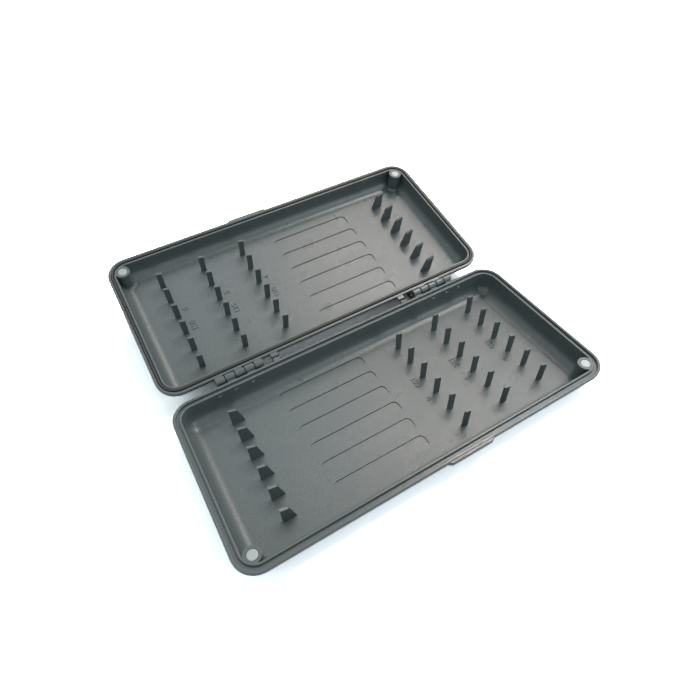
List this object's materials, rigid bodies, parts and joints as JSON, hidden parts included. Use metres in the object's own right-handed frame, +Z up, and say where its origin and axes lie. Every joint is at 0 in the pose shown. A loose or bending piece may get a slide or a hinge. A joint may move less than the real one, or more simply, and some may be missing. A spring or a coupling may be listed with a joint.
{
  "type": "rig box",
  "caption": "Slim two-part plastic case that opens like a book on a pinned hinge, with pegs and fins in both trays for wound line, a rubber seal and magnets that hold it shut.",
  "frame": {"origin": "centre of the base tray's flat underside", "axes": "+X along the hinge, +Y from the base towards the hinge and the open lid, +Z up out of the base tray"},
  "size_m": [0.201, 0.1947, 0.0367],
  "materials": {
    "shell": "satin moulded plastic",
    "seal": "soft black rubber",
    "magnet": "nickel plated",
    "steel_pin": "ground steel"
  },
  "bodies": {
    "base": {"base_tray": "shell", "base_hook_fins": "shell", "base_pegs_1": "shell", "base_pegs_2": "shell", "base_pegs_3": "shell", "base_magnet_left": "magnet", "base_magnet_right": "magnet", "hinge_pin_left": "steel_pin", "hinge_pin_right": "steel_pin"},
    "lid": {"lid_tray": "shell", "lid_seal": "seal", "lid_hook_fins": "shell", "lid_pegs_1": "shell", "lid_pegs_2": "shell", "lid_pegs_3": "shell", "lid_magnet_left": "magnet", "lid_magnet_right": "magnet"}
  },
  "joints": [
    {"name": "lid_hinge", "type": "hinge", "parent": "base", "child": "lid", "pos_m": [0, 0.04975, 0.0155], "axis": [1, 0, 0], "range_deg": [0, 167.35]}
  ]
}
